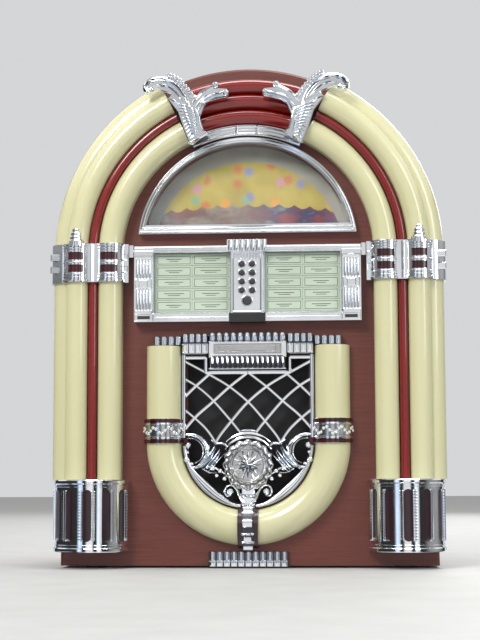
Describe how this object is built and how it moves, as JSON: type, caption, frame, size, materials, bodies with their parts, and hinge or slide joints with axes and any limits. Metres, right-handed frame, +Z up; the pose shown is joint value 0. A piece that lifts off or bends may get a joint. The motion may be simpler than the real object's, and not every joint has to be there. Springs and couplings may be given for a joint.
{
  "type": "jukebox radio",
  "caption": "Table-top arch-topped jukebox radio with cream side tubes, red crown, chrome trim, lift-up title door with push buttons, and a speaker grille.",
  "frame": {"origin": "middle of the underside, on the surface that the rubber feet stand on", "axes": "+Z up, +X to the right seen from the front, +Y from the front to the back"},
  "size_m": [0.2648, 0.1578, 0.3365],
  "materials": {
    "wood": "satin mahogany veneer",
    "board": "dark stained hardboard",
    "cream": "polished translucent cream moulding",
    "red_strip": "dark red translucent",
    "crown_red": "bright red translucent",
    "chrome": "vacuum-plated chrome",
    "clear": "clear moulded acrylic",
    "print": "printed card",
    "cards": "pale mint card",
    "black_plastic": "fine textured black",
    "knob": "gloss black",
    "pointer": "red",
    "button": "gloss dark grey",
    "cloth": "black woven grille cloth",
    "speaker_metal": "black enamel",
    "speaker_paper": "dark pressed paper",
    "board_green": "green laminate",
    "cell": "wrapped steel can",
    "rubber": "matt",
    "steel": "zinc plated",
    "lamp": "small filament bulb in its socket"
  },
  "bodies": {
    "cabinet": {"back_panel": "board", "back_screws": "steel", "base_board": "board", "batteries": "cell", "battery_box": "black_plastic", "bottom_trim": "chrome", "cabinet_shell": "wood", "circuit_board": "board_green", "collar_left": "chrome", "collar_right": "chrome", "collar_windows": "red_strip", "control_panel": "black_plastic", "crown_arc_trim": "chrome", "crown_lens": "crown_red", "dc_jack": "black_plastic", "foot_left": "chrome", "foot_liners": "red_strip", "foot_right": "chrome", "front_panel": "wood", "grille": "chrome", "grille_cloth": "cloth", "grille_crown": "chrome", "hinge_brackets": "chrome", "inner_tube_left": "cream", "inner_tube_right": "cream", "outer_tube_left": "cream", "outer_tube_right": "cream", "red_strips": "red_strip", "rubber_feet": "rubber", "speaker_basket": "speaker_metal", "speaker_cone": "speaker_paper", "u_bands": "chrome", "u_clasp": "chrome", "u_tube_left": "cream", "u_tube_right": "cream", "window_frame": "chrome", "window_lamp": "lamp", "window_lens": "clear", "window_picture": "print", "wing_left": "chrome", "wing_right": "chrome"},
    "title_door": {"title_frame": "chrome", "title_cards": "cards", "keypad_plate": "chrome", "keypad_board": "board_green", "door_pull": "black_plastic"},
    "tuning_knob": {"tuning_knob": "knob"},
    "volume_knob": {"volume_knob": "knob"},
    "dial_pointer": {"dial_pointer": "pointer"},
    "band_switch": {"band_switch": "knob"},
    "battery_door": {"battery_door": "black_plastic"},
    "button_1": {"button_1": "button"},
    "button_2": {"button_2": "button"},
    "button_3": {"button_3": "button"},
    "button_4": {"button_4": "button"},
    "button_5": {"button_5": "button"},
    "button_6": {"button_6": "button"},
    "button_7": {"button_7": "button"},
    "button_8": {"button_8": "button"},
    "select_button": {"select_button": "button"}
  },
  "joints": [
    {"name": "title_door_hinge", "type": "hinge", "parent": "cabinet", "child": "title_door", "pos_m": [0, -0.0592, 0.2105], "axis": [-1, 0, 0], "range_deg": [0, 80]},
    {"name": "tuning_turn", "type": "hinge", "parent": "cabinet", "child": "tuning_knob", "pos_m": [0.045, -0.0447, 0.1885], "axis": [0, 1, 0], "range_deg": [-150, 150]},
    {"name": "dial_slide", "type": "slide", "parent": "cabinet", "child": "dial_pointer", "axis": [1, 0, 0], "range_m": [-0.022, 0.022]},
    {"name": "volume_turn", "type": "hinge", "parent": "cabinet", "child": "volume_knob", "pos_m": [-0.045, -0.0447, 0.1885], "axis": [0, 1, 0], "range_deg": [0, 280]},
    {"name": "band_slide", "type": "slide", "parent": "cabinet", "child": "band_switch", "axis": [1, 0, 0], "range_m": [0, 0.006]},
    {"name": "battery_door_hinge", "type": "hinge", "parent": "cabinet", "child": "battery_door", "pos_m": [0, 0.074, 0.0715], "axis": [1, 0, 0], "range_deg": [0, 100]},
    {"name": "button_1_press", "type": "slide", "parent": "title_door", "child": "button_1", "axis": [0, 1, 0], "range_m": [0, 0.0008], "stiffness_N_per_m": 400},
    {"name": "button_2_press", "type": "slide", "parent": "title_door", "child": "button_2", "axis": [0, 1, 0], "range_m": [0, 0.0008], "stiffness_N_per_m": 400},
    {"name": "button_3_press", "type": "slide", "parent": "title_door", "child": "button_3", "axis": [0, 1, 0], "range_m": [0, 0.0008], "stiffness_N_per_m": 400},
    {"name": "button_4_press", "type": "slide", "parent": "title_door", "child": "button_4", "axis": [0, 1, 0], "range_m": [0, 0.0008], "stiffness_N_per_m": 400},
    {"name": "button_5_press", "type": "slide", "parent": "title_door", "child": "button_5", "axis": [0, 1, 0], "range_m": [0, 0.0008], "stiffness_N_per_m": 400},
    {"name": "button_6_press", "type": "slide", "parent": "title_door", "child": "button_6", "axis": [0, 1, 0], "range_m": [0, 0.0008], "stiffness_N_per_m": 400},
    {"name": "button_7_press", "type": "slide", "parent": "title_door", "child": "button_7", "axis": [0, 1, 0], "range_m": [0, 0.0008], "stiffness_N_per_m": 400},
    {"name": "button_8_press", "type": "slide", "parent": "title_door", "child": "button_8", "axis": [0, 1, 0], "range_m": [0, 0.0008], "stiffness_N_per_m": 400},
    {"name": "select_button_press", "type": "slide", "parent": "title_door", "child": "select_button", "axis": [0, 1, 0], "range_m": [0, 0.0008], "stiffness_N_per_m": 400}
  ],
  "couplings": [
    {"joint": "dial_slide", "follows": "tuning_turn", "m_per_rad": 0.007639}
  ]
}
